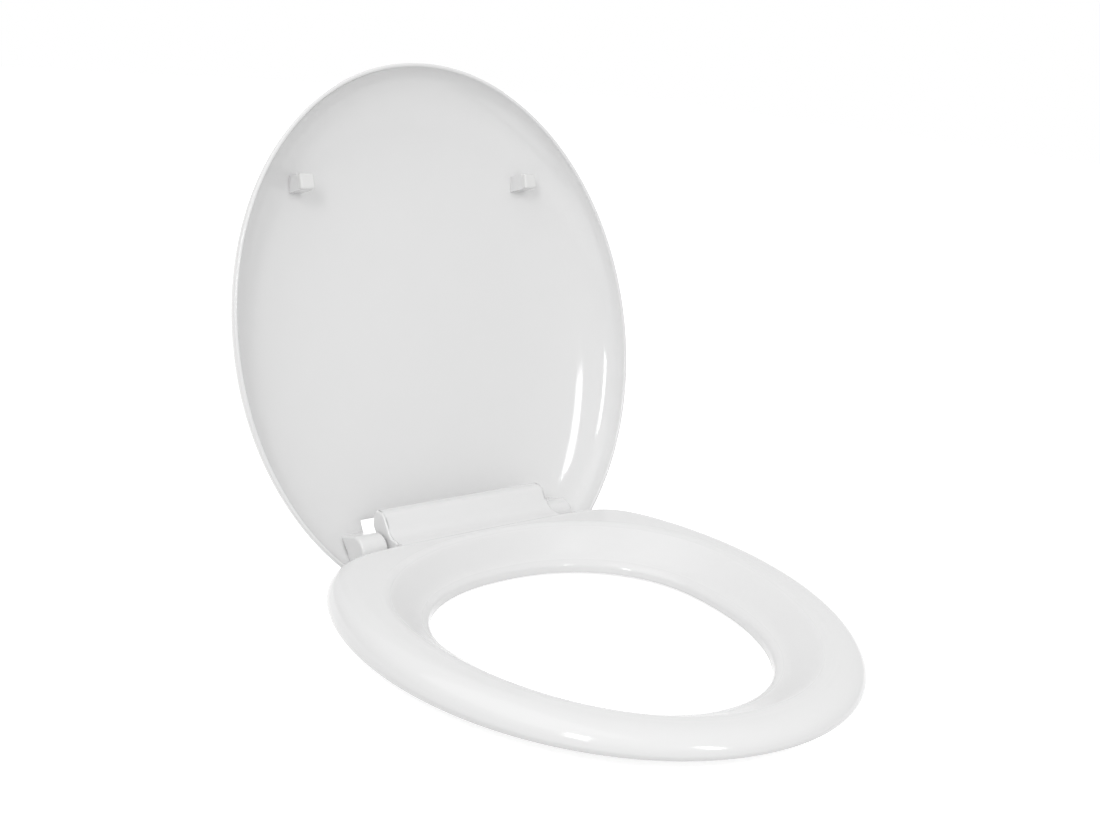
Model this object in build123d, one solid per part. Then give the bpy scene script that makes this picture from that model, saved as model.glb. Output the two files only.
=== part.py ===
from build123d import *
from math import cos, hypot, pi, sin, sqrt
import os

# Toilet seat: a ring and a lid that turn on one hinge line, held to the pan by two pillars.
# Millimetres. +Z up, X along the hinge line, -Y to the front. The origin is on top of the pan,
# midway between the two pan fixings, so the hinge line lies straight above it.

# Hinge line
axis_height = 28.0            # above the pan
lid_open_angle = 107.0        # lid at rest, leaning back against its stop

# Seat ring outline: half width, and reaches measured along -Y
ring_half_width = 193.0
ring_front_reach = 388.0      # hinge line to the front edge
ring_rear_gap = 18.0          # hinge line to the ring's rear edge
ring_widest_at = 165.0        # hinge line to the widest place
ring_rear_reach = 226.0       # rear half of the outline before it is squared off
ring_front_power = 2.02       # superellipse powers of the front and rear halves
ring_rear_power = 2.0
corner_power = 14.0           # how tightly the squared rear corners turn

# Seat ring section
ring_edge_height = 10.0       # underside of the outer edge above the pan
ring_front_height = 16.0      # crest above that edge, at the front and at the rear
ring_rear_height = 30.0
ring_shoulder = 20.0          # width of the rounded outer shoulder
ring_tuck = 3.0               # how far the lower edge tucks in
ring_waist = 0.25             # share of the height where the ring is widest
rear_pinch = 0.55             # shoulder and dish are narrower by this at the rear
ring_wall = 9.0               # outer wall of the hollow underside
ring_lip_wall = 12.0          # solid lip round the hole
ring_shelf = 24.0             # hollow underside starts this far from the hole
ring_ceiling = 0.42           # share of the height that the hollow reaches
rib_thickness = 3.0
rib_count = 12
rib_bottom = 12.0             # ribs stop this far above the pan

# Hole through the ring
hole_half_width = 123.0
hole_rear_at = 55.0           # hinge line to the hole's rear edge
hole_front_at = 322.0         # hinge line to the hole's front edge
hole_widest_at = 160.0
hole_front_power = 2.05
hole_rear_power = 2.17
lip_bottom = 2.5              # lip round the hole, above the pan
lip_top = 11.0
lip_round = 3.5
dish_width = 42.0             # dished band between the hole and the crest

# Tongue at the back of the ring, a hood over the hinge
tongue_half_width = 84.0
tongue_top = 56.5             # above the pan
tongue_foot_at = 11.0         # foot of the ramp, ahead of the hinge line
tongue_foot_height = 39.0
tongue_peak_at = -2.0         # top of the ramp, ahead of the hinge line
tongue_back = 15.0            # rear face, behind the hinge line
tongue_rear_edge = 43.0       # lower end of the rear face above the pan
tongue_wall = 3.0
tongue_cheek = 4.0            # end walls that carry the bushes
cheek_boss_radius = 13.0

# Lid
lid_overhang = 5.0            # lid beyond the ring all round
lid_rear_reach = 228.0        # rear half of the outline before it is cut square
lid_rear_power = 2.0
lid_rear_edge = 10.0          # square cut behind the hinge line
lid_corner_radius = 14.0
lid_rim_drop = 11.0           # rim of the closed lid below the hinge line
lid_depth = 44.0              # rim to the inside of the crown
lid_skin = 3.0
lid_dome_power = 4.5
lid_notch_ahead = 22.0        # front edge of the notch for the tongue
lug_radius = 13.0
lug_length = 24.0
lug_gap = 2.0                 # between the tongue's cheek and the lug

# Hinge hardware
pin_radius = 4.0
pin_length = 47.0
pin_chamfer = 0.6
bush_radius = 6.0
bush_play = 0.05              # radial running clearance on the pin
seat_play = 0.02              # radial clearance of pieces fixed in their seats
lid_bush_length = 22.0
pillar_width = 19.5
pillar_depth = 16.0
pillar_head_radius = 9.0
pillar_play = 0.5             # between a pillar and the cheek
pillar_foot_radius = 14.0
pillar_foot_thickness = 4.5
pad_thickness = 1.5
insert_radius = 5.5
insert_bore = 3.4             # tapping size for an M8 thread
insert_length = 15.0
grub_radius = 2.0
grub_length = 4.5

# Buffers
ring_buffer_radius = 8.0
ring_buffer_stem = 3.5
ring_buffer_depth = 8.0       # stem inside its boss
ring_boss_radius = 8.5
# Places across and ahead of the hinge line, tied to the ring's width and length
ring_buffer_places = {"front": (72.0, ring_front_reach - 52.0), "rear": (ring_half_width - 43.0, 112.0)}
lid_buffer_side = 13.0
lid_buffer_height = 5.0
lid_buffer_stem = 2.5
lid_buffer_depth = 5.0
lid_buffer_place = (ring_half_width - 80.0, ring_front_reach - 90.0)
lid_buffer_gap = 0.6          # between a buffer and the ring when the lid is shut
corner_round = 2.0

outline_steps = 44
dome_step = 11.0
pin_inner = tongue_half_width - tongue_cheek - pillar_play - pillar_width + 0.5
pillar_outer = tongue_half_width - tongue_cheek - pillar_play
pillar_middle = pillar_outer - pillar_width / 2
lug_start = tongue_half_width + lug_gap
rim_height = axis_height - lid_rim_drop
hinge = Axis((0, 0, axis_height), (-1, 0, 0))


def superellipse(half_width, widest_at, front, rear, front_power, rear_power, height, flat=None):
    """Closed outline about the widest place; flat is how far behind it a square cut lies."""
    points = []
    for step in range(outline_steps):
        c, s = cos(2 * pi * step / outline_steps), sin(2 * pi * step / outline_steps)
        power, length = (front_power, front) if s >= 0 else (rear_power, rear)
        size = (abs(c) ** power + abs(s) ** power) ** (1 / power)
        if flat and s < 0:
            size = (size ** corner_power + (-s * rear / flat) ** corner_power) ** (1 / corner_power)
        y = -widest_at - length * s / size
        points.append(Vector(half_width * c / size, y, height(y)))
    steps = [float(step) for step in range(outline_steps + 1)]
    return Face(Wire([Edge.make_spline(points, parameters=steps, periodic=True)]))


def crest(y):
    """Height of the ring's crest, falling evenly from rear to front."""
    share = (-y - ring_rear_gap) / (ring_front_reach - ring_rear_gap)
    return ring_edge_height + ring_rear_height + (ring_front_height - ring_rear_height) * share


def ring_level(share):
    """Sloping plane at a share of the height from the ring's edge to its crest."""
    return lambda y: ring_edge_height + share * (crest(y) - ring_edge_height)


def dish_level(share):
    """Sloping plane at a share of the height from the lip to the crest."""
    return lambda y: lip_top + share * (crest(y) - lip_top)


def level(height):
    return lambda y: height


def ring_outline(inset, height):
    rear_inset = inset * rear_pinch
    return superellipse(ring_half_width - inset, ring_widest_at,
                        ring_front_reach - ring_widest_at - inset, ring_rear_reach - inset,
                        ring_front_power, ring_rear_power, height,
                        ring_widest_at - ring_rear_gap - rear_inset)


def hole_outline(outset, height):
    return superellipse(hole_half_width + outset, hole_widest_at,
                        hole_front_at - hole_widest_at + outset,
                        hole_widest_at - hole_rear_at + outset * rear_pinch,
                        hole_front_power, hole_rear_power, height)


def side_profile(points, x_from, x_to):
    """A (y, z) outline carried along X."""
    face = Plane.YZ * Polygon(*points, align=None)
    return Pos(x_from, 0, 0) * extrude(face, x_to - x_from, dir=(1, 0, 0))


def rod(radius, x_from, x_to, height=axis_height):
    """A round bar along X on the hinge line."""
    bar = Cylinder(radius, abs(x_to - x_from))
    return Pos((x_from + x_to) / 2, 0, height) * Rot(0, 90, 0) * bar


def post(radius, x, y, z_from, z_to):
    return Pos(x, y, (z_from + z_to) / 2) * Cylinder(radius, z_to - z_from)


def mirrored(solid):
    return mirror(solid, Plane.YZ)


def write(name, shape):
    shape.label = name
    export_step(shape, os.path.join("parts", name + ".step"))


def ring_body():
    """Bull-nosed outer form with a hanging lip, less the dished funnel and the hollow underside."""
    levels = [(ring_tuck, 0.0), (0.3 * ring_tuck, 0.4 * ring_waist), (0.0, ring_waist)]
    for step in range(1, 6):
        turn = step * pi / 10
        levels.append((ring_shoulder * (1 - cos(turn)), ring_waist + (1 - ring_waist) * sin(turn)))
    body = loft([ring_outline(inset, ring_level(share)) for inset, share in levels])
    body += loft([hole_outline(ring_lip_wall, level(lip_bottom)),
                  hole_outline(ring_lip_wall, level(ring_edge_height + 1))])
    drop = lip_top - lip_bottom
    funnel = [hole_outline(0, level(lip_bottom - 2)),
              hole_outline(0, level(lip_bottom + 0.35 * drop)),
              hole_outline(0.2 * lip_round, level(lip_bottom + 0.7 * drop)),
              hole_outline(lip_round, level(lip_top))]
    for out, share in ((0.29, 0.2), (0.52, 0.52), (0.76, 0.85), (0.9, 0.97), (1.0, 1.0), (1.1, 1.06)):
        funnel.append(hole_outline(out * dish_width, dish_level(share)))
    body -= loft(funnel)
    draft = 3.0
    trough = loft([ring_outline(ring_wall, level(0)),
                   ring_outline(ring_wall + draft, ring_level(ring_ceiling))])
    trough -= loft([hole_outline(ring_shelf, level(-1)),
                    hole_outline(ring_shelf + draft, level(2 * ring_rear_height))])
    for step in range(rib_count):
        rib = Box(2 * ring_front_reach, rib_thickness, ring_rear_height,
                  align=(Align.MIN, Align.CENTER, Align.MIN))
        trough -= Pos(0, -hole_widest_at, rib_bottom) * Rot(0, 0, (step + 0.5) * 360 / rib_count) * rib
    for x, ahead in ring_buffer_places.values():
        for side in (1, -1):
            trough -= post(ring_boss_radius, side * x, -ahead, ring_edge_height, 2 * ring_rear_height)
    return body - trough


def tongue():
    """Hood over the hinge: ramp, top and rear face, with a cheek at each end round the pins."""
    w = tongue_wall
    foot = -tongue_foot_at
    root = -ring_rear_gap - rear_pinch * ring_shoulder - 2.0
    top = crest(root) - 0.3
    peak = -tongue_peak_at
    front_wall = foot + 1.0
    rear = -ring_rear_gap - 2.0
    low = ring_edge_height + 3.0
    outside = [(root, top - 2 * w), (root, top), (foot, tongue_foot_height), (peak, tongue_top),
               (tongue_back - w, tongue_top), (tongue_back, tongue_top - w),
               (tongue_back, tongue_rear_edge)]
    inside = [(tongue_back - w, tongue_rear_edge), (tongue_back - w, tongue_top - w),
              (peak + 0.5 * w, tongue_top - w), (front_wall, tongue_foot_height - 0.5 * w),
              (front_wall, low), (rear, low), (rear, top - 2 * w)]
    hood = side_profile(outside + inside, -tongue_half_width, tongue_half_width)
    cheek = [(rear, low), (rear, top - w)] + outside[2:] + [(0, axis_height)]
    for side in (1, -1):
        inner, outer = side * (tongue_half_width - tongue_cheek), side * tongue_half_width
        hood += side_profile(cheek, min(inner, outer), max(inner, outer))
        hood += rod(cheek_boss_radius, inner, outer)
        hood -= rod(bush_radius + seat_play, inner - side, outer + side)
    return hood


def seat_ring():
    ring = ring_body() + tongue()
    for x, ahead in ring_buffer_places.values():
        for side in (1, -1):
            ring -= post(ring_buffer_stem + seat_play, side * x, -ahead, 0,
                         ring_edge_height + ring_buffer_depth + seat_play)
    return ring


def lid_dome(skin, depth, drop):
    """Domed block over the lid's outline: (radius share) ** power + (height share) ** 2 = 1."""
    half_width = ring_half_width + lid_overhang - skin
    front = ring_front_reach + lid_overhang - skin - ring_widest_at
    rear = lid_rear_reach - skin
    start = -drop / depth
    turns = [start + (0.47 * pi - start) * step / 400 for step in range(401)]
    profile = [(cos(turn) ** (2 / lid_dome_power), depth * sin(turn)) for turn in turns]
    sections = [profile[0]]
    for r, z in profile:
        last_r, last_z = sections[-1]
        if hypot(half_width * (r - last_r), z - last_z) >= dome_step:
            sections.append((r, z))
    return loft([superellipse(half_width * r, ring_widest_at, front * r, rear * r, ring_front_power,
                              lid_rear_power, level(rim_height + z)) for r, z in sections])


def lid_plan(skin):
    """Prism that squares off the lid's rear end, with rounded corners on its tapering sides."""
    half_width = ring_half_width + lid_overhang
    at = ring_widest_at - 5.0
    t = (at / lid_rear_reach) ** lid_rear_power
    x = half_width * (1 - t) ** (1 / lid_rear_power)
    slope = x / (1 - t) * t / at
    offset = skin * sqrt(1 + slope ** 2)
    rear = lid_rear_edge - skin
    front = -2 * ring_front_reach

    def side_x(y):
        return x - offset - slope * (y + 5.0)

    points = [(side_x(rear), rear), (side_x(front), front), (-side_x(front), front), (-side_x(rear), rear)]
    face = Polygon(*points, align=None)
    corners = face.vertices().sort_by(Axis.Y)[-2:]
    face = fillet(corners, lid_corner_radius - skin)
    return extrude(face, 4 * lid_depth, dir=(0, 0, 1))


def lid_inside_height(x, ahead):
    """Height of the closed lid's inner face over the pan at a place ahead of the widest line."""
    half_width = ring_half_width + lid_overhang - lid_skin
    front = ring_front_reach + lid_overhang - lid_skin - ring_widest_at
    r = ((x / half_width) ** ring_front_power
         + ((ahead - ring_widest_at) / front) ** ring_front_power) ** (1 / ring_front_power)
    return rim_height + lid_depth * sqrt(1 - r ** lid_dome_power)


def lid_buffer_bottom():
    return crest(-lid_buffer_place[1]) + lid_buffer_gap


def lid():
    outside = lid_dome(0.0, lid_depth + lid_skin, 0.0) & lid_plan(0.0)
    inside = lid_dome(lid_skin, lid_depth, 2.0) & (Pos(0, 0, rim_height - 3.0) * lid_plan(lid_skin))
    shell = outside - inside
    notch_depth = lid_notch_ahead + 2 * lid_rear_edge
    notch = Box(2 * lug_start, notch_depth, 4 * lid_depth)
    boss_top = lid_buffer_bottom() + lid_buffer_height
    for side in (1, -1):
        web = (Pos(side * (lug_start + lug_length / 2), 0, axis_height + lid_depth / 2)
               * Box(lug_length, 2 * lug_radius, lid_depth))
        shell += web & outside
        shell += rod(lug_radius, side * lug_start, side * (lug_start + lug_length))
        boss_height = lid_inside_height(*lid_buffer_place) + lid_skin / 2 - boss_top
        boss = (Pos(side * lid_buffer_place[0], -lid_buffer_place[1], boss_top)
                * Box(lid_buffer_side, lid_buffer_side, boss_height + lid_skin,
                      align=(Align.CENTER, Align.CENTER, Align.MIN)))
        shell += boss & outside
    shell -= Pos(0, notch_depth / 2 - lid_notch_ahead, axis_height) * notch
    for side in (1, -1):
        bore_end = lug_start + lid_bush_length + seat_play
        shell -= rod(bush_radius + seat_play, side * (lug_start - 1), side * bore_end)
        shell -= post(lid_buffer_stem + seat_play, side * lid_buffer_place[0], -lid_buffer_place[1],
                      boss_top - 1, boss_top + lid_buffer_depth + seat_play)
    return shell


def opened(shape):
    """Swings a piece of the lid from shut to its rest place."""
    return shape.rotate(hinge, lid_open_angle)


def lid_buffer():
    x, ahead = lid_buffer_place
    low = lid_buffer_bottom()
    pad = Box(lid_buffer_side, lid_buffer_side, lid_buffer_height,
              align=(Align.CENTER, Align.CENTER, Align.MIN))
    pad = fillet(pad.edges().filter_by(Axis.Z) + pad.faces().sort_by(Axis.Z)[0].edges(), corner_round)
    return Pos(x, -ahead, low) * pad + post(lid_buffer_stem, x, -ahead, low + lid_buffer_height,
                                            low + lid_buffer_height + lid_buffer_depth)


def ring_buffer(x, ahead):
    pad = post(ring_buffer_radius, x, -ahead, 0, ring_edge_height)
    pad = fillet(pad.faces().sort_by(Axis.Z)[0].edges(), corner_round)
    return pad + post(ring_buffer_stem, x, -ahead, ring_edge_height, ring_edge_height + ring_buffer_depth)


def hinge_pin():
    pin = rod(pin_radius, pin_inner, pin_inner + pin_length)
    return chamfer(pin.edges().filter_by(GeomType.CIRCLE), pin_chamfer)


def sleeve(x_from, x_to):
    return rod(bush_radius, x_from, x_to) - rod(pin_radius + bush_play, x_from - 1, x_to + 1)


def hinge_pillar():
    """Foot, post and round head with the pin's bore, an insert's seat and a grub screw's hole."""
    x = pillar_middle
    inner = pillar_outer - pillar_width
    foot_top = pad_thickness + pillar_foot_thickness
    body = post(pillar_foot_radius, x, 0, pad_thickness, foot_top)
    body = fillet(body.faces().sort_by(Axis.Z)[-1].edges(), corner_round)
    column = Box(pillar_width, pillar_depth, axis_height - foot_top + 1,
                 align=(Align.CENTER, Align.CENTER, Align.MIN))
    body += Pos(x, 0, foot_top - 1) * column
    body += rod(pillar_head_radius, inner, pillar_outer)
    body -= rod(pin_radius + seat_play, inner - 1, pillar_outer + 1)
    body -= post(insert_radius + seat_play, x, 0, 0, insert_length)
    body -= Pos(x, pillar_head_radius, axis_height) * Rot(90, 0, 0) * Cylinder(
        grub_radius + seat_play, 2 * (pillar_head_radius - pin_radius))
    return body


def base_pad():
    ring = post(pillar_foot_radius, pillar_middle, 0, 0, pad_thickness)
    return ring - post(insert_radius + seat_play, pillar_middle, 0, -1, pad_thickness + 1)


def thread_insert():
    collar = post(insert_radius, pillar_middle, 0, 0, insert_length - seat_play)
    return collar - post(insert_bore, pillar_middle, 0, -1, insert_length + 1)


def grub_screw():
    screw = Cylinder(grub_radius, grub_length)
    screw -= Pos(0, 0, -grub_length / 2) * extrude(RegularPolygon(grub_radius * 0.5, 6), grub_length / 2)
    return Pos(pillar_middle, pin_radius + seat_play + grub_length / 2, axis_height) * Rot(90, 0, 0) * screw


os.makedirs("parts", exist_ok=True)
write("seat_ring", seat_ring())
write("lid", opened(lid()))
for place, (across, forward) in ring_buffer_places.items():
    write("ring_buffer_" + place + "_right", ring_buffer(across, forward))
    write("ring_buffer_" + place + "_left", ring_buffer(-across, forward))
pieces = {
    "lid_buffer": opened(lid_buffer()),
    "lid_bush": opened(sleeve(lug_start, lug_start + lid_bush_length)),
    "ring_bush": sleeve(tongue_half_width - tongue_cheek, tongue_half_width),
    "hinge_pin": hinge_pin(),
    "hinge_pillar": hinge_pillar(),
    "base_pad": base_pad(),
    "thread_insert": thread_insert(),
    "grub_screw": grub_screw(),
}
for piece, right_hand in pieces.items():
    write(piece + "_right", right_hand)
    write(piece + "_left", mirrored(right_hand))
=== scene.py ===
import math
import bpy
import numpy as np
from mathutils import Matrix, Vector


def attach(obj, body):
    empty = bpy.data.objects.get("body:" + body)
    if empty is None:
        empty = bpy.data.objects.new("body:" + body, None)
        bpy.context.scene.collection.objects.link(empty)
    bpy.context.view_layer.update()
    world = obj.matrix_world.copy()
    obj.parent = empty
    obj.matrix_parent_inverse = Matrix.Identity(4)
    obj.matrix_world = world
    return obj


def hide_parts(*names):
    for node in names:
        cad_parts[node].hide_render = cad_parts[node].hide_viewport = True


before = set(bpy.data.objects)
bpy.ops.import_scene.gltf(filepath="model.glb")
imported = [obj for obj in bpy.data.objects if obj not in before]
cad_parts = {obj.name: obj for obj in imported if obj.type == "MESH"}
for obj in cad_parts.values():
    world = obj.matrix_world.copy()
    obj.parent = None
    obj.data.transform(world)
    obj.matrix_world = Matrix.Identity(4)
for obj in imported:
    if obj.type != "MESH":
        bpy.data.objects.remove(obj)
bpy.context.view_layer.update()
print("frame loaded")

mm = 0.001
weldDigits = 4
tiny = 1e-9
hinge = dict(height=28.0, lidAngle=math.radians(107.0), turns=360)


# A smooth patch of a piece: grid of points (rows, columns, 3) in mm, closed along rows or columns,
# with the surface's own normals where the formula gives them
def patch(points, wrapRows=False, wrapColumns=False, normals=None, dull=None):
    rows, columns = points.shape[:2]
    index = np.arange(rows * columns).reshape(rows, columns)
    if wrapRows:
        index = np.vstack([index, index[:1]])
    if wrapColumns:
        index = np.hstack([index, index[:, :1]])
    quads = np.stack([index[:-1, :-1], index[1:, :-1], index[1:, 1:], index[:-1, 1:]], -1)
    quads, flat = quads.reshape(-1, 4), points.reshape(-1, 3)
    if normals is None:
        keys, owner = np.unique(np.round(flat, weldDigits), axis=0, return_inverse=True)
        owner = owner.reshape(-1)
        a, b, c, d = (flat[quads[:, k]] for k in range(4))
        total = np.zeros((len(keys), 3))
        facing = np.cross(c - a, d - b)
        np.add.at(total, owner[quads].reshape(-1), np.repeat(facing, 4, axis=0))
        normals = total[owner]
    normals = normals.reshape(-1, 3)
    normals = normals / np.maximum(np.linalg.norm(normals, axis=1, keepdims=True), tiny)
    dull = np.zeros(len(flat)) if dull is None else dull.reshape(-1)
    return flat, quads, normals, dull


# Patches joined into one mesh: points that coincide become one, quads that close up become triangles,
# and each patch keeps its own normals, so the edges between patches stay crisp
def makePiece(name, patches, material, body):
    starts = np.cumsum([0] + [len(p[0]) for p in patches])
    points = np.vstack([p[0] for p in patches])
    corners = np.vstack([p[1] + start for p, start in zip(patches, starts)])
    normals = np.vstack([p[2] for p in patches])
    dull = np.concatenate([p[3] for p in patches])
    keys = np.round(points, weldDigits)
    first, owner = np.unique(keys, axis=0, return_index=True, return_inverse=True)[1:]
    joined = owner.reshape(-1)[corners]
    same = np.stack([joined[:, k] == joined[:, (k + 1) % 4] for k in range(4)], 1)
    folded = (joined[:, 0] == joined[:, 2]) | (joined[:, 1] == joined[:, 3])
    whole = ~same.any(1) & ~folded
    faces = [joined[whole]]
    loops = [corners[whole]]
    for k in range(4):
        three = same[:, k] & (same.sum(1) == 1) & ~folded
        faces.append(np.delete(joined[three], k, axis=1))
        loops.append(np.delete(corners[three], k, axis=1))
    mesh = bpy.data.meshes.new(name)
    mesh.from_pydata((points[first] * mm).tolist(), [], sum((f.tolist() for f in faces), []))
    mesh.polygons.foreach_set("use_smooth", np.ones(len(mesh.polygons), bool))
    mesh.attributes.new("dullness", "FLOAT", "POINT").data.foreach_set("value", dull[first])
    mesh.materials.append(material)
    mesh.update()
    order = np.concatenate([loop.reshape(-1) for loop in loops])
    mesh.normals_split_custom_set(normals[order].tolist())
    piece = bpy.data.objects.new(name, mesh)
    bpy.context.collection.objects.link(piece)
    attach(piece, body)
    return piece


# Closed block between two loops of points: a wall from one to the other, round or with a flat face for
# each side, and a fan over each end
def block(low, high, isRound=False):
    lowMiddle, highMiddle = (np.repeat(loop.mean(0, keepdims=True), len(loop), 0) for loop in (low, high))
    wall = np.stack([high, low], 0)
    if isRound:
        walls = [patch(wall, wrapColumns=True)]
    else:
        walls = [patch(wall[:, [k, (k + 1) % len(low)]]) for k in range(len(low))]
    return walls + [patch(np.stack([low, lowMiddle], 0), wrapColumns=True),
                    patch(np.stack([highMiddle, high], 0), wrapColumns=True)]


# Cubic through evenly numbered knots, tangents from their neighbours
def smoothCurve(knots, steps):
    knots = np.asarray(knots, float)
    last = len(knots) - 1
    t = np.linspace(0, last, steps)
    i = np.minimum(t.astype(int), last - 1)
    f = (t - i)[:, None]
    slope = np.gradient(knots, axis=0)
    a, b, da, db = knots[i], knots[i + 1], slope[i], slope[i + 1]
    return ((2 * f**3 - 3 * f**2 + 1) * a + (f**3 - 2 * f**2 + f) * da
            + (3 * f**2 - 2 * f**3) * b + (f**3 - f**2) * db)


# Outline at turn u: |x/a|^n + |d/b|^n = 1 with d ahead of the widest place, squared off behind by a
# second norm where flat is given
def outline(u, halfWidth, widestAt, front, rear, frontPower, rearPower, flat=None, cornerPower=14.0):
    c, s = np.cos(u), np.sin(u)
    n = np.where(s >= 0, frontPower, rearPower)
    size = (np.abs(c) ** n + np.abs(s) ** n) ** (1 / n)
    if flat is not None:
        cut = np.where(s < 0, -s * rear / flat, 0.0)
        size = (size**cornerPower + cut**cornerPower) ** (1 / cornerPower)
    return halfWidth * c / size, -widestAt - np.where(s >= 0, front, rear) * s / size


# Polygon with each corner p replaced by the bend (1-f)^2 a + 2f(1-f) p + f^2 b, which leaves the sides at
# the given reach from p, at most a share of the shorter side; also its outward normals
def roundedPolygon(corners, reaches, steps=9, mostShare=0.45):
    p = np.asarray(corners, float)
    into, away = np.roll(p, 1, axis=0) - p, np.roll(p, -1, axis=0) - p
    intoLength, awayLength = (np.linalg.norm(v, axis=1, keepdims=True) for v in (into, away))
    reach = np.asarray(reaches, float)[:, None]
    reach = np.minimum(reach, mostShare * np.minimum(intoLength, awayLength))
    start, end = p + into / intoLength * reach, p + away / awayLength * reach
    f = np.linspace(0, 1, steps)[None, :, None]
    points = (1 - f) ** 2 * start[:, None] + 2 * f * (1 - f) * p[:, None] + f**2 * end[:, None]
    along = (1 - f) * (p - start)[:, None] + f * (end - p)[:, None]
    normal = np.stack([-along[..., 1], along[..., 0]], -1)
    return points.reshape(-1, 2), normal.reshape(-1, 2)


# How far a polygon reaches from the origin inside it, over angles: the side a + v e met by the ray t d
def polygonRadius(angles, corners):
    a = np.asarray(corners, float)
    e = (np.roll(a, -1, axis=0) - a)[None]
    d = np.stack([np.cos(angles), np.sin(angles)], -1)[:, None]
    cross = d[..., 0] * e[..., 1] - d[..., 1] * e[..., 0]
    cross = np.where(np.abs(cross) < tiny, tiny, cross)
    t = (a[:, 0] * e[..., 1] - a[:, 1] * e[..., 0]) / cross
    v = (a[:, 0] * d[..., 1] - a[:, 1] * d[..., 0]) / cross
    return np.where((t > 0) & (v >= 0) & (v <= 1), t, 0).max(1)


# Lid coordinates (x, s along the panel, w outward) to the shared frame with the lid open; with no lift,
# the same turn for a direction
def openLid(x, s, w, lift=hinge["height"]):
    c, k = math.cos(hinge["lidAngle"]), math.sin(hinge["lidAngle"])
    return np.stack(np.broadcast_arrays(x, -s * c + w * k, lift + s * k + w * c), -1)


# Places round the hinge line, from its own height
def upright(x, y, z):
    return np.stack([x, y, hinge["height"] + z], -1)


moulding = dict(detail=3.0, roughnessSpread=0.3, relief=0.0002)


# Moulding grain: noise that shifts the colour and the roughness a little and gives a height
def makeGrain():
    group = bpy.data.node_groups.new("mouldingGrain", "ShaderNodeTree")
    sockets = {"INPUT": (("Vector", "Vector"), ("Grain", "Float"), ("Colour", "Color"), ("Spread", "Float"),
                         ("Roughness", "Float")),
               "OUTPUT": (("Colour", "Color"), ("Roughness", "Float"), ("Height", "Float"))}
    for way, named in sockets.items():
        for label, kind in named:
            group.interface.new_socket(name=label, in_out=way, socket_type="NodeSocket" + kind)
    nodes, links = group.nodes, group.links
    given, result = nodes.new("NodeGroupInput"), nodes.new("NodeGroupOutput")
    noise = nodes.new("ShaderNodeTexNoise")
    noise.inputs["Detail"].default_value = moulding["detail"]
    links.new(given.outputs["Vector"], noise.inputs["Vector"])
    links.new(given.outputs["Grain"], noise.inputs["Scale"])
    centred = nodes.new("ShaderNodeMath")
    centred.operation = "SUBTRACT"
    centred.inputs[1].default_value = 0.5
    links.new(noise.outputs["Fac"], centred.inputs[0])
    shift = nodes.new("ShaderNodeMath")
    shift.operation = "MULTIPLY_ADD"
    shift.inputs[2].default_value = 1.0
    links.new(centred.outputs["Value"], shift.inputs[0])
    links.new(given.outputs["Spread"], shift.inputs[1])
    tint = nodes.new("ShaderNodeVectorMath")
    tint.operation = "SCALE"
    links.new(given.outputs["Colour"], tint.inputs["Vector"])
    links.new(shift.outputs["Value"], tint.inputs["Scale"])
    links.new(tint.outputs["Vector"], result.inputs["Colour"])
    vary = nodes.new("ShaderNodeMath")
    vary.operation = "MULTIPLY_ADD"
    vary.inputs[1].default_value = moulding["roughnessSpread"]
    vary.inputs[2].default_value = 1.0
    links.new(centred.outputs["Value"], vary.inputs[0])
    rough = nodes.new("ShaderNodeMath")
    rough.operation = "MULTIPLY"
    links.new(vary.outputs["Value"], rough.inputs[0])
    links.new(given.outputs["Roughness"], rough.inputs[1])
    links.new(rough.outputs["Value"], result.inputs["Roughness"])
    links.new(noise.outputs["Fac"], result.inputs["Height"])
    return group


grain = makeGrain()


# Finish from the grain group; dull adds roughness where the mesh's dullness is high
def makeFinish(name, colour, roughness, metallic=0.0, scale=900.0, spread=0.04, bump=0.0, dull=0.0,
               shine=0.5):
    material = bpy.data.materials.new(name)
    material.use_nodes = True
    nodes, links = material.node_tree.nodes, material.node_tree.links
    shader = nodes["Principled BSDF"]
    shader.inputs["Metallic"].default_value = metallic
    shader.inputs["Specular IOR Level"].default_value = shine
    place = nodes.new("ShaderNodeTexCoord")
    mould = nodes.new("ShaderNodeGroup")
    mould.node_tree = grain
    mould.inputs["Grain"].default_value = scale
    mould.inputs["Colour"].default_value = (*colour, 1)
    mould.inputs["Spread"].default_value = spread
    mould.inputs["Roughness"].default_value = roughness
    links.new(place.outputs["Object"], mould.inputs["Vector"])
    links.new(mould.outputs["Colour"], shader.inputs["Base Color"])
    links.new(mould.outputs["Roughness"], shader.inputs["Roughness"])
    if dull:
        worn = nodes.new("ShaderNodeAttribute")
        worn.attribute_name = "dullness"
        total = nodes.new("ShaderNodeMath")
        total.operation = "MULTIPLY_ADD"
        total.inputs[1].default_value = dull
        links.new(worn.outputs["Fac"], total.inputs[0])
        links.new(mould.outputs["Roughness"], total.inputs[2])
        links.new(total.outputs["Value"], shader.inputs["Roughness"])
    if bump:
        relief = nodes.new("ShaderNodeBump")
        relief.inputs["Strength"].default_value = bump
        relief.inputs["Distance"].default_value = moulding["relief"]
        links.new(mould.outputs["Height"], relief.inputs["Height"])
        links.new(relief.outputs["Normal"], shader.inputs["Normal"])
    return material


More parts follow.
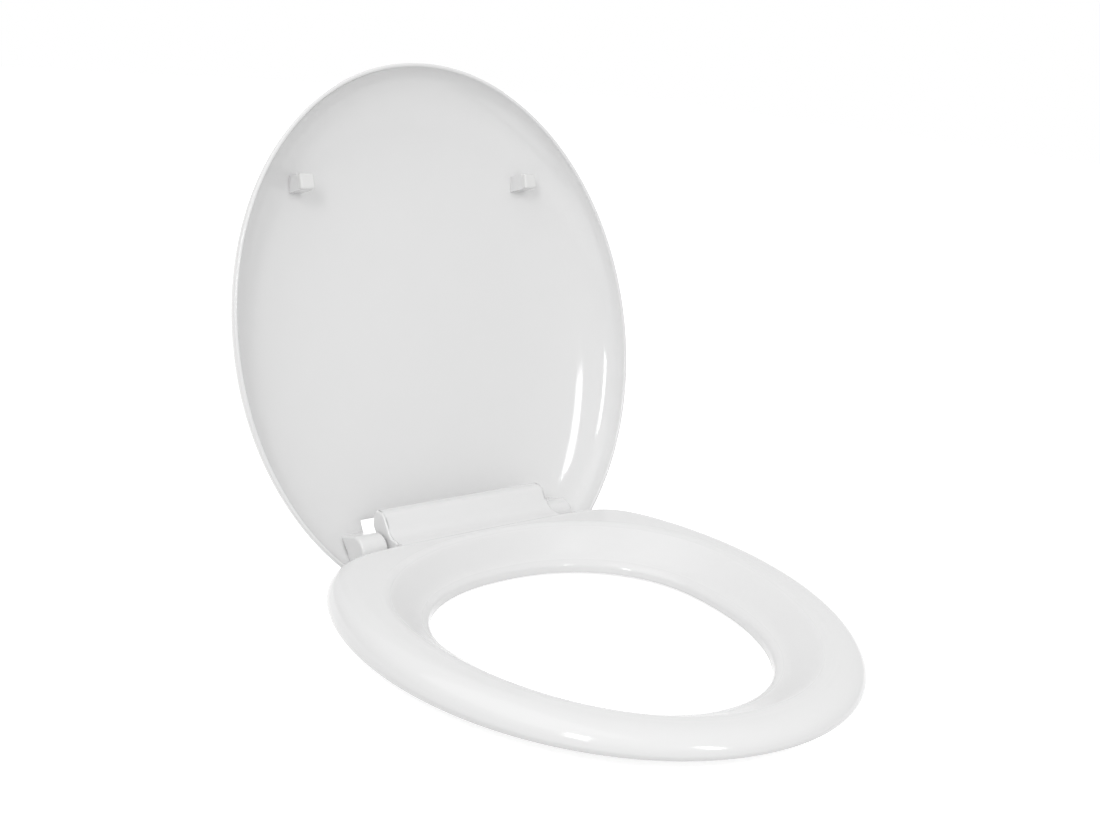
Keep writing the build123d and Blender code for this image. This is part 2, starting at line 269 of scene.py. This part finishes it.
# Colour and roughness of each finish, by what the node's name holds
gloss = dict(colour=(0.80, 0.80, 0.80), roughness=0.09, scale=30, spread=0.012, shine=0.45)
finishes = {
    "seat_ring": makeFinish("seatPlastic", dull=0.3, **gloss),
    "lid": makeFinish("lidPlastic", **gloss),
    "hinge_pillar": makeFinish("pillarPlastic", (0.76, 0.76, 0.76), 0.3, bump=0.05),
    "bush": makeFinish("bushPlastic", (0.72, 0.72, 0.71), 0.45, bump=0.1),
    "buffer": makeFinish("bufferRubber", (0.77, 0.77, 0.765), 0.5, bump=0.2),
    "base_pad": makeFinish("padRubber", (0.5, 0.5, 0.5), 0.6, bump=0.3),
    "hinge_pin": makeFinish("pinSteel", (0.6, 0.6, 0.61), 0.28, metallic=1.0, bump=0.1),
    "thread_insert": makeFinish("insertBrass", (0.62, 0.48, 0.22), 0.3, metallic=1.0, bump=0.1),
}
finishes["grub_screw"] = finishes["hinge_pin"]
for name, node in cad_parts.items():
    label = next(key for key in ("bush", "buffer", *finishes) if key in name)
    node.data.materials.clear()
    node.data.materials.append(finishes[label])
seatPlastic, lidPlastic = finishes["seat_ring"], finishes["lid"]
print("finishes done")

# Seat ring: a section carried round the outlines of the ring and of its hole
ring = dict(half=193.0, front=388.0, gap=18.0, widest=165.0, rear=226.0, power=(2.02, 2.0), edge=10.0,
            frontHeight=16.0, rearHeight=30.0, shoulder=20.0, tuck=3.0, waist=0.25, pinch=0.55,
            wall=9.0, draft=3.0, ceiling=0.42, turns=360, shoulderSteps=25, waistSteps=13)
hole = dict(half=123.0, rear=55.0, front=322.0, widest=160.0, power=(2.05, 2.17), bottom=2.5, top=11.0,
            round=3.5, dish=42.0, wall=12.0, shelf=24.0, draft=2.0, dullFrom=6.0, dullTo=12.0, steps=73,
            bowl=[(0.29, 0.2), (0.52, 0.52), (0.76, 0.85), (0.9, 0.97), (1.0, 1.0), (1.07, 1.0)])


# Height of the crest, falling evenly from rear to front
def crest(y):
    share = (-y - ring["gap"]) / (ring["front"] - ring["gap"])
    return ring["edge"] + ring["rearHeight"] + (ring["frontHeight"] - ring["rearHeight"]) * share


# Outlines at an inset from the ring's edge and at an outset from the hole's, both pinched at the rear
def ringOutline(u, inset):
    return outline(u, ring["half"] - inset, ring["widest"], ring["front"] - ring["widest"] - inset,
                   ring["rear"] - inset, *ring["power"], ring["widest"] - ring["gap"] - inset * ring["pinch"])


def holeOutline(u, outset):
    return outline(u, hole["half"] + outset, hole["widest"], hole["front"] - hole["widest"] + outset,
                   hole["widest"] - hole["rear"] + outset * ring["pinch"], *hole["power"])


# Height at a share of the way from the outer edge to the crest
def ringLevel(y, share):
    return ring["edge"] + share * (crest(y) - ring["edge"])


turns = np.linspace(0, 2 * math.pi, ring["turns"] + 1)[:-1]
around = turns[:, None]
# Hole side: offset from the hole, share of the lip's height, share from the lip to the crest
lipKnots = [(0, 0, 0), (0, 0.35, 0), (0.2 * hole["round"], 0.7, 0), (hole["round"], 1, 0)]
lipKnots += [(out * hole["dish"], 1, share) for out, share in hole["bowl"]]
lipOut, lipRise, lipShare = smoothCurve(lipKnots, hole["steps"]).T
x, y = holeOutline(around, lipOut)
z = hole["bottom"] + lipRise * (hole["top"] - hole["bottom"]) + lipShare * (crest(y) - hole["top"])
dish = np.stack([x, y, z], -1)
# Outer side: inset from the ring's outline and share of its height, from the crest down to the edge
bend = np.linspace(0, math.pi / 2, ring["shoulderSteps"])
shoulder = np.stack([ring["shoulder"] * (1 - np.cos(bend)),
                     ring["waist"] + (1 - ring["waist"]) * np.sin(bend)], 1)
waistKnots = [(ring["tuck"], 0), (0.3 * ring["tuck"], 0.4 * ring["waist"]), (0, ring["waist"])]
waist = smoothCurve(waistKnots, ring["waistSteps"])[:-1]
rimIn, rimShare = np.vstack([waist, shoulder])[::-1].T
x, y = ringOutline(around, rimIn)
outside = np.stack([x, y, ringLevel(y, rimShare)], -1)
# The dish is duller than the lip and the shoulder
dull = (np.clip((lipOut - hole["round"]) / hole["dullFrom"], 0, 1)
        * np.clip((hole["dish"] - lipOut) / hole["dullTo"], 0, 1))
dull = np.tile(np.concatenate([dull, np.zeros(len(rimIn))]), (ring["turns"], 1))
patches = [patch(np.concatenate([dish, outside], 1), wrapRows=True, dull=dull)]


# Level line of the underside on either outline, at a height or at a share of the ring's height
def underLine(curve, offset, height=None):
    x, y = curve(turns, offset)
    z = ringLevel(y, ring["ceiling"]) if height is None else np.full_like(x, height)
    return np.stack([x, y, z], -1)


# Underside: outer edge, trough and the hanging lip round the hole
underside = [underLine(ringOutline, ring["tuck"], ring["edge"]),
             underLine(ringOutline, ring["wall"], ring["edge"]),
             underLine(ringOutline, ring["wall"] + ring["draft"]),
             underLine(holeOutline, hole["shelf"] + hole["draft"]),
             underLine(holeOutline, hole["shelf"], ring["edge"]),
             underLine(holeOutline, hole["wall"], ring["edge"]),
             underLine(holeOutline, hole["wall"], hole["bottom"]),
             underLine(holeOutline, 0.0, hole["bottom"])]
patches += [patch(np.stack([a, b], 1), wrapRows=True) for a, b in zip(underside, underside[1:])]
seatRing = makePiece("seatRing", patches, seatPlastic, "ring")
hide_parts("seat_ring")

# Ribs across the trough and round bosses for the buffers, up into its ceiling
rib = dict(count=12, thickness=3.0, bottom=12.0, overlap=0.3, intoShelf=1.0, intoWall=1.5, bossRadius=8.5,
           bossSteps=48, places=((72.0, 336.0), (150.0, 112.0)))


# Block with the given plan from a height up into the trough's ceiling
def hangFromTrough(plan, bottom, isRound=False):
    high = np.column_stack([plan, ringLevel(plan[:, 1], ring["ceiling"]) + rib["overlap"]])
    return block(np.column_stack([plan, np.full(len(plan), bottom)]), high, isRound)


# Where an outline lies in a direction from the middle of the hole
def outlineToward(curve, heading):
    bearing = np.arctan2(curve[1] + hole["widest"], curve[0])
    near = np.argmin(np.abs(np.angle(np.exp(1j * (bearing - heading)))))
    return np.array([curve[0][near], curve[1][near]])


patches = []
for number in range(rib["count"]):
    heading = (number + 0.5) * 2 * math.pi / rib["count"]
    across = np.array([-math.sin(heading), math.cos(heading)]) * rib["thickness"] / 2
    inner = outlineToward(holeOutline(turns, hole["shelf"] + rib["intoShelf"]), heading)
    outer = outlineToward(ringOutline(turns, ring["wall"] + rib["intoWall"]), heading)
    plan = np.array([inner - across, outer - across, outer + across, inner + across])
    patches += hangFromTrough(plan, rib["bottom"])
circle = np.linspace(0, 2 * math.pi, rib["bossSteps"] + 1)[:-1]
disc = rib["bossRadius"] * np.column_stack([np.cos(circle), np.sin(circle)])
for x, ahead in rib["places"]:
    for side in (1, -1):
        patches += hangFromTrough(disc + [side * x, -ahead], ring["edge"], isRound=True)
makePiece("ringRibs", patches, seatPlastic, "ring")
print("ring done")

# Tongue: hood profile (y, z) rounded at its bends and carried along X, with a bored cheek at each end
tongue = dict(half=84.0, cheek=4.0, boss=13.0, bush=6.02, edge=1.6, steps=13,
              outside=[(-31.0, 33.0), (-31.0, 39.1), (-11.0, 39.0), (2.0, 56.5), (12.0, 56.5), (15.0, 53.5),
                       (15.0, 43.0)],
              inside=[(12.0, 43.0), (12.0, 53.5), (3.5, 53.5), (-10.0, 37.5), (-10.0, 13.0), (-20.0, 13.0),
                      (-20.0, 33.0)],
              bends=[0.4, 0.4, 9.0, 5.0, 1.5, 1.5, 1.0, 1.0, 1.0, 1.0, 1.0, 1.0, 1.0, 0.4],
              middle=[(-28.0, 36.0), (-28.0, 36.0), (-14.0, 36.0), (3.0, 55.0), (13.0, 54.5), (13.0, 54.5),
                      (13.5, 44.0), (13.5, 44.0), (13.0, 54.5), (3.0, 55.0), (-14.0, 36.0), (-15.0, 16.0),
                      (-15.0, 16.0), (-14.0, 36.0)],
              cheekFoot=[(-20.0, 13.0), (-20.0, 38.6)], cheekRear=[(0.0, 27.0)], footBend=2.0, rearBend=1.0)
angles = np.linspace(0, 2 * math.pi, hinge["turns"] + 1)[:-1]


# Block round the hinge line: radius over angles at each place along X, rounded ends, bored from its
# second end, through or leaving a closed end of the given thickness
def hingeBlock(radiusAt, xFrom, xTo, bore, edge, place, closedEnd=0.0, edgeSteps=6, steps=8):
    side = math.copysign(1, xTo - xFrom)
    arc = np.linspace(0, 1, edgeSteps) * math.pi / 2
    near = [(xFrom + side * edge * (1 - math.sin(a)), edge * (1 - math.cos(a))) for a in arc[::-1]]
    far = [(xTo - side * edge * (1 - math.sin(a)), edge * (1 - math.cos(a))) for a in arc]
    between = [(x, 0.0) for x in np.linspace(near[-1][0], far[0][0], steps)[1:-1]]
    skin = [(x, radiusAt(x) - trim) for x, trim in near + between + far]
    tip, hollow = (np.full_like(angles, r) for r in (0.0 if closedEnd else bore, bore))
    xBottom = xFrom + side * closedEnd
    strips = [skin, [(xFrom, tip), skin[0]], [skin[-1], (xTo, hollow)], [(xTo, hollow), (xBottom, hollow)]]
    if closedEnd:
        strips.append([(xBottom, hollow), (xBottom, tip)])
    # The lid's coordinates are left-handed, so its blocks are wound the other way
    flip = slice(None, None, int(-side) if place is upright else int(side))
    c, s = np.cos(angles), np.sin(angles)
    grids = [np.stack([place(np.full_like(r, x), r * c, r * s) for x, r in strip], 0) for strip in strips]
    return [patch(grid[:, flip], wrapColumns=True) for grid in grids]


# Pairs (y, z) repeated at each x
def alongX(pairs, xs):
    return np.stack(np.broadcast_arrays(xs[:, None], pairs[None, :, 0], pairs[None, :, 1]), -1)


profile, profileNormal = roundedPolygon(tongue["outside"] + tongue["inside"], tongue["bends"])
across = np.linspace(-1, 1, tongue["steps"]) * (tongue["half"] - tongue["edge"])
patches = [patch(alongX(profile, across), wrapColumns=True, normals=alongX(profileNormal, 0 * across))]
# Each end is closed onto the middle line of its section
middleLine = np.repeat(np.array(tongue["middle"]), len(profile) // len(tongue["middle"]), 0)
for x, order in ((across[0], 1), (across[-1], -1)):
    closing = np.stack([middleLine, profile], 0)[::order]
    closing = np.concatenate([np.full((*closing.shape[:2], 1), x), closing], -1)
    patches.append(patch(closing, wrapColumns=True))
# Cheek: the hood's outside from its second bend on, down to a foot, and a round boss for the bush
cheekCorners = tongue["cheekFoot"] + tongue["outside"][2:] + tongue["cheekRear"]
cheekBends = [tongue["footBend"]] * 2 + tongue["bends"][2:len(tongue["outside"])] + [tongue["rearBend"]]
cheekShape = roundedPolygon(cheekCorners, cheekBends)[0]
cheekRadius = np.maximum(polygonRadius(angles, cheekShape - [0, hinge["height"]]), tongue["boss"])
for side in (1, -1):
    inner, outer = side * (tongue["half"] - tongue["cheek"]), side * tongue["half"]
    patches += hingeBlock(lambda x: cheekRadius, inner, outer, tongue["bush"], tongue["edge"], upright)
makePiece("tongueHood", patches, seatPlastic, "ring")
print("tongue done")

# Lid: dome rho^p + (w/depth)^2 = 1 over its outline, rho its distance from the middle as a share
lid = dict(half=198.0, widest=165.0, front=228.0, rear=228.0, power=(2.02, 2.0), rearEdge=10.0, corner=14.0,
           rim=-11.0, lip=1.5, depth=47.0, skin=3.0, dome=4.5, notchHalf=86.0, notchAhead=22.0, tangentAt=5.0,
           spine=(98.0, 125.0), spineSteps=20, across=37, crowding=1.8, capSteps=9,
           rimSteps=dict(side=420, corner=13, rear=13, notchSide=24, notchFront=59))


# rho^n = |x/half|^n + |d/reach|^n, and the slope of rho^p along x and s
def domeShare(x, s, skin):
    d = s - lid["widest"]
    n = np.where(d >= 0, *lid["power"])
    reach = np.where(d >= 0, lid["front"], lid["rear"]) - skin
    half = lid["half"] - skin
    rho = np.maximum((np.abs(x / half) ** n + np.abs(d / reach) ** n) ** (1 / n), tiny)
    k = lid["dome"] * rho ** (lid["dome"] - n)
    slopeX = k * np.sign(x) * np.abs(x / half) ** (n - 1) / half
    slopeS = k * np.sign(d) * np.abs(d / reach) ** (n - 1) / reach
    return rho, (slopeX, slopeS)


# w of the dome's surface, or of the one a skin further in
def domeHeight(x, s, skin):
    rho = domeShare(x, s, skin)[0]
    return lid["rim"] + (lid["depth"] - skin) * np.sqrt(np.clip(1 - rho ** lid["dome"], 0, 1))


# Rim in lid coordinates: right half from the front tip by the rear corner and rear edge to the notch,
# then mirrored; the corner's arc touches the tangent of the side at tangentAt behind the hinge line
def lidOutline(skin):
    half, rear, n, steps = lid["half"] - skin, lid["rear"] - skin, lid["power"][1], lid["rimSteps"]
    at = lid["widest"] - lid["tangentAt"]
    share = (at / lid["rear"]) ** n
    touch = lid["half"] * (1 - share) ** (1 / n)
    slope = touch / (1 - share) * share / at
    lean = math.hypot(1, slope)
    middleY = lid["rearEdge"] - lid["corner"]
    middleX = touch - slope * (middleY + lid["tangentAt"]) - lid["corner"] * lean
    turn = np.linspace(math.asin(slope / lean), math.pi / 2, steps["corner"])
    radius = lid["corner"] - skin
    arcX, arcS = middleX + radius * np.cos(turn), -middleY - radius * np.sin(turn)
    within = half * np.clip(1 - (np.abs(arcS - lid["widest"]) / rear) ** n, 0, 1) ** (1 / n)
    lastTurn = -math.asin((lid["widest"] - arcS[0]) / rear)
    t = np.linspace(math.pi / 2, lastTurn, steps["side"] + 1)[:-1]
    sideX, sideY = outline(t, half, lid["widest"], lid["front"] - skin, rear, *lid["power"])
    back = np.linspace(arcX[-1], lid["notchHalf"], steps["rear"] + 1)[1:]
    down = np.linspace(arcS[-1], lid["notchAhead"], steps["notchSide"] + 1)[1:]
    along = np.linspace(lid["notchHalf"], 0, steps["notchFront"] + 1)[1:]
    x = np.concatenate([sideX, np.minimum(arcX, within), back, np.full_like(down, lid["notchHalf"]), along])
    s = np.concatenate([-sideY, arcS, np.full_like(back, arcS[-1]), down,
                        np.full_like(along, lid["notchAhead"])])
    return np.concatenate([x, -x[-2:0:-1]]), np.concatenate([s, s[-2:0:-1]])


# One skin: lines from a forked spine, which reaches into both ears, out to the rim. The spine has few
# points, so that the lines on its two sides start from the same ones
def lidSkin(skin, facing):
    rimX, rimS = lidOutline(skin)
    forkX, forkS = lid["spine"]
    fork = np.clip((lid["widest"] - rimS) / forkS, 0, 1) * np.clip(np.abs(rimX) / lid["notchHalf"], 0, 1)
    fork = np.round(fork * lid["spineSteps"]) / lid["spineSteps"]
    startX, startS = np.sign(rimX) * forkX * fork, lid["widest"] - forkS * fork
    q = 1 - (1 - np.linspace(0, 1, lid["across"])) ** lid["crowding"]
    x = startX[:, None] + (rimX - startX)[:, None] * q
    s = startS[:, None] + (rimS - startS)[:, None] * q
    w = np.maximum(domeHeight(x, s, skin), lid["rim"] + lid["lip"])
    slopeX, slopeS = domeShare(x, s, skin)[1]
    normal = facing * openLid(slopeX, slopeS, 2 * (w - lid["rim"]) / (lid["depth"] - skin) ** 2, 0.0)
    order = slice(None, None, -facing)
    surface = patch(openLid(x, s, w)[:, order], wrapRows=True, normals=normal[:, order])
    return rimX, rimS, w[:, -1], surface


outX, outS, outW, outerSkin = lidSkin(0.0, 1)
inX, inS, inW, innerSkin = lidSkin(lid["skin"], -1)
# Over the notch the edge is the cut through both skins; elsewhere walls run down to a rounded rim
near = 0.01
notch = (np.abs(outX) <= lid["notchHalf"] + near) & (outS <= lid["notchAhead"] + near)
notch &= outS > near - lid["rearEdge"]
low = lid["rim"] + lid["lip"]
outLow, inLow = np.where(notch, outW, low), np.where(notch, inW, low)
cap = np.linspace(0, math.pi, lid["capSteps"])[None]
capX, capS, capW = (0.5 * (a + b)[:, None] + 0.5 * (a - b)[:, None] * np.cos(cap)
                    for a, b in ((outX, inX), (outS, inS), (outLow, inLow)))
capW = np.where(notch[:, None], capW, low - lid["lip"] * np.sin(cap))
patches = [outerSkin, innerSkin, patch(openLid(capX, capS, capW)[:, ::-1], wrapRows=True),
           patch(np.stack([openLid(outX, outS, outLow), openLid(outX, outS, outW)], 1), wrapRows=True),
           patch(np.stack([openLid(inX, inS, inW), openLid(inX, inS, inLow)], 1), wrapRows=True)]
lidShell = makePiece("lidShell", patches, lidPlastic, "cover")
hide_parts("lid")

# Lugs: round nose on the hinge line, carried back into the dome's skin, bored for a bush
lug = dict(radius=13.0, start=86.0, length=24.0, bore=6.02, closedEnd=1.98, edge=2.0, rear=-10.0, overlap=1.0)
# Square bosses from the panel to the backs of the lid's buffers
buffer = dict(side=13.0, height=5.0, gap=0.6, place=(113.0, 298.0), overlap=0.5)


# Lug's reach over angles: the nose, or the web from the hinge line into the skin if that is further
def lugRadius(x):
    ends = np.array([lug["radius"], lug["rear"]])
    depth = domeHeight(np.full(2, abs(x)), ends, lid["skin"]) + lug["overlap"]
    web = polygonRadius(angles, [(ends[1], 0), (ends[0], 0), (ends[0], depth[0]), (ends[1], depth[1])])
    return np.maximum(web, lug["radius"])


patches = []
bufferBack = crest(-buffer["place"][1]) + buffer["gap"] + buffer["height"] - hinge["height"]
square = np.array([(-1, -1), (1, -1), (1, 1), (-1, 1)]) * buffer["side"] / 2
for side in (1, -1):
    patches += hingeBlock(lugRadius, side * (lug["start"] + lug["length"]), side * lug["start"],
                          lug["bore"], lug["edge"], openLid, lug["closedEnd"])
    plan = square + [side * buffer["place"][0], buffer["place"][1]]
    panel = domeHeight(*plan.T, lid["skin"]) + buffer["overlap"]
    patches += block(openLid(*plan.T, panel), openLid(*plan.T, np.full_like(panel, bufferBack)))
makePiece("lidLugs", patches, lidPlastic, "cover")
print("lid done")


# 1 where a ray should see the plain white background: camera, glossy and transmission rays
def backgroundRay(nodes, links):
    ray = nodes.new("ShaderNodeLightPath")
    total = ray.outputs["Is Camera Ray"]
    for label in ("Is Glossy Ray", "Is Transmission Ray"):
        either = nodes.new("ShaderNodeMath")
        either.operation = "MAXIMUM"
        links.new(total, either.inputs[0])
        links.new(ray.outputs[label], either.inputs[1])
        total = either.outputs["Value"]
    return total


# Floor: pale paint with a glow that only the background rays see, so that it is white but keeps the shadow
ground = dict(reach=6.0, below=0.0005, colour=(0.72, 0.72, 0.72), roughness=0.9, scale=4, spread=0.01,
              glow=0.78)
r, z = ground["reach"], -ground["below"]
floorMesh = bpy.data.meshes.new("floor")
floorMesh.from_pydata([(-r, -r, z), (r, -r, z), (r, r, z), (-r, r, z)], [], [(0, 1, 2, 3)])
floor = bpy.data.objects.new("floor", floorMesh)
bpy.context.collection.objects.link(floor)
floorPaint = makeFinish("floorPaint", ground["colour"], ground["roughness"], scale=ground["scale"],
                        spread=ground["spread"], shine=0.0)
nodes, links = floorPaint.node_tree.nodes, floorPaint.node_tree.links
nodes["Principled BSDF"].inputs["Emission Strength"].default_value = ground["glow"]
links.new(backgroundRay(nodes, links), nodes["Principled BSDF"].inputs["Emission Color"])
floorMesh.materials.append(floorPaint)

# World: white to the background rays, softer as a lamp
studio = dict(fill=0.65, background=1.0)
world = bpy.data.worlds.new("studio")
bpy.context.scene.world = world
world.use_nodes = True
nodes, links = world.node_tree.nodes, world.node_tree.links
nodes["Background"].inputs["Color"].default_value = (1, 1, 1, 1)
strength = nodes.new("ShaderNodeMapRange")
strength.inputs["To Min"].default_value = studio["fill"]
strength.inputs["To Max"].default_value = studio["background"]
links.new(backgroundRay(nodes, links), strength.inputs["Value"])
links.new(strength.outputs["Result"], nodes["Background"].inputs["Strength"])

# Two strip lamps in front and one broad lamp overhead, all aimed at one place: azimuth, elevation,
# distance, width, height, power
lamps = {"stripRight": (-91, 36, 2.0, 0.26, 0.6, 6.0), "stripLeft": (-148, 34, 2.0, 0.26, 0.8, 7.0),
         "overhead": (170, 62, 2.4, 2.2, 2.2, 11.0)}
aim = Vector((0.05, -0.15, 0.1))
for name, (azimuth, elevation, distance, width, height, power) in lamps.items():
    turn, lift = math.radians(azimuth), math.radians(elevation)
    toward = Vector((math.cos(lift) * math.cos(turn), math.cos(lift) * math.sin(turn), math.sin(lift)))
    data = bpy.data.lights.new(name, "AREA")
    data.shape = "RECTANGLE"
    data.size, data.size_y, data.energy = width, height, power
    lamp = bpy.data.objects.new(name, data)
    lamp.location = aim + toward * distance
    lamp.rotation_euler = (-toward).to_track_quat("-Z", "Y").to_euler()
    bpy.context.collection.objects.link(lamp)

# Camera: looks along -back, picture centre given in pixels of an 1100 x 824 picture
view = dict(azimuth=-41.61, elevation=17.27, roll=5.44, distance=1.08571, focal=1404.54,
            centre=(565.68, 457.65), target=(0, -0.12, 0.13), picture=(1100, 824), sensor=36.0,
            clip=(0.05, 50))
az, el, roll = (math.radians(view[k]) for k in ("azimuth", "elevation", "roll"))
back = np.array([math.sin(az) * math.cos(el), -math.cos(az) * math.cos(el), math.sin(el)])
right = np.array([math.cos(az), math.sin(az), 0])
up = np.cross(back, right)
right, up = right * math.cos(roll) + up * math.sin(roll), up * math.cos(roll) - right * math.sin(roll)
eye = np.array(view["target"]) + back * view["distance"]
pose = np.eye(4)
pose[:3] = np.column_stack([right, up, back, eye])
camera = bpy.data.cameras.new("camera")
cameraObject = bpy.data.objects.new("camera", camera)
cameraObject.matrix_world = Matrix(pose.tolist())
bpy.context.collection.objects.link(cameraObject)
wide, tall = view["picture"]
camera.sensor_width = view["sensor"]
camera.lens = view["focal"] / wide * view["sensor"]
camera.shift_x = (wide / 2 - view["centre"][0]) / wide
camera.shift_y = (view["centre"][1] - tall / 2) / wide
camera.clip_start, camera.clip_end = view["clip"]
bpy.context.scene.camera = cameraObject
bpy.context.scene.view_settings.view_transform = "Standard"
print("stage done")
